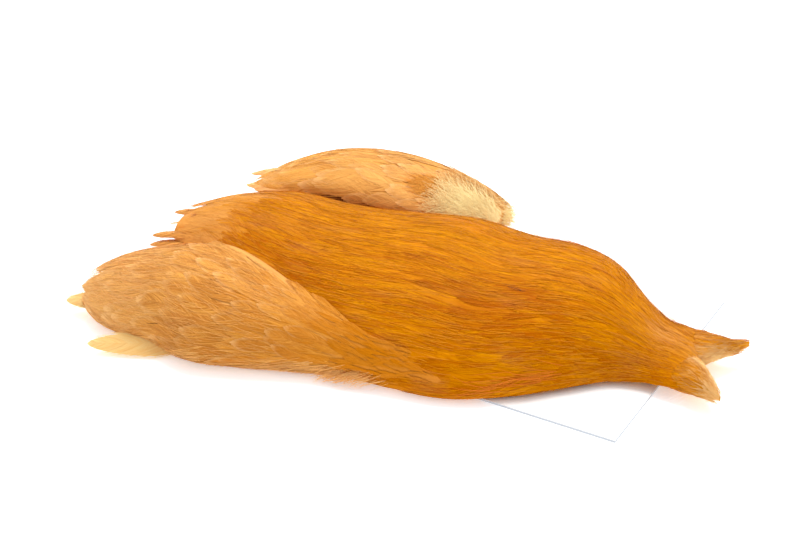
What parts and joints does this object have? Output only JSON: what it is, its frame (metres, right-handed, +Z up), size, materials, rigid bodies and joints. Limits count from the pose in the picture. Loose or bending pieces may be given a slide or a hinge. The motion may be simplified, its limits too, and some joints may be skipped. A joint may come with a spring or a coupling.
{
  "type": "hen cape",
  "caption": "Dyed hen cape: a forked neck skin with long swept-back feathers and a pale shoulder patch on each side, lying on its flat backing card.",
  "frame": {"origin": "middle of the whole outline, on the surface the card lies on", "axes": "+X along the cape towards its forked neck, +Y across it to its far side, +Z up"},
  "size_m": [0.2105, 0.1349, 0.0289],
  "materials": {
    "backing_card": "matt white",
    "skin": "dried, matt",
    "cape_feathers": "dyed golden orange, silky",
    "near_shoulder_feathers": "pale apricot, soft",
    "far_shoulder_feathers": "pale apricot, soft"
  },
  "bodies": {
    "root": {"backing_card": "backing_card", "skin": "skin", "cape_feathers": "cape_feathers", "near_shoulder_feathers": "near_shoulder_feathers", "far_shoulder_feathers": "far_shoulder_feathers"}
  },
  "joints": []
}
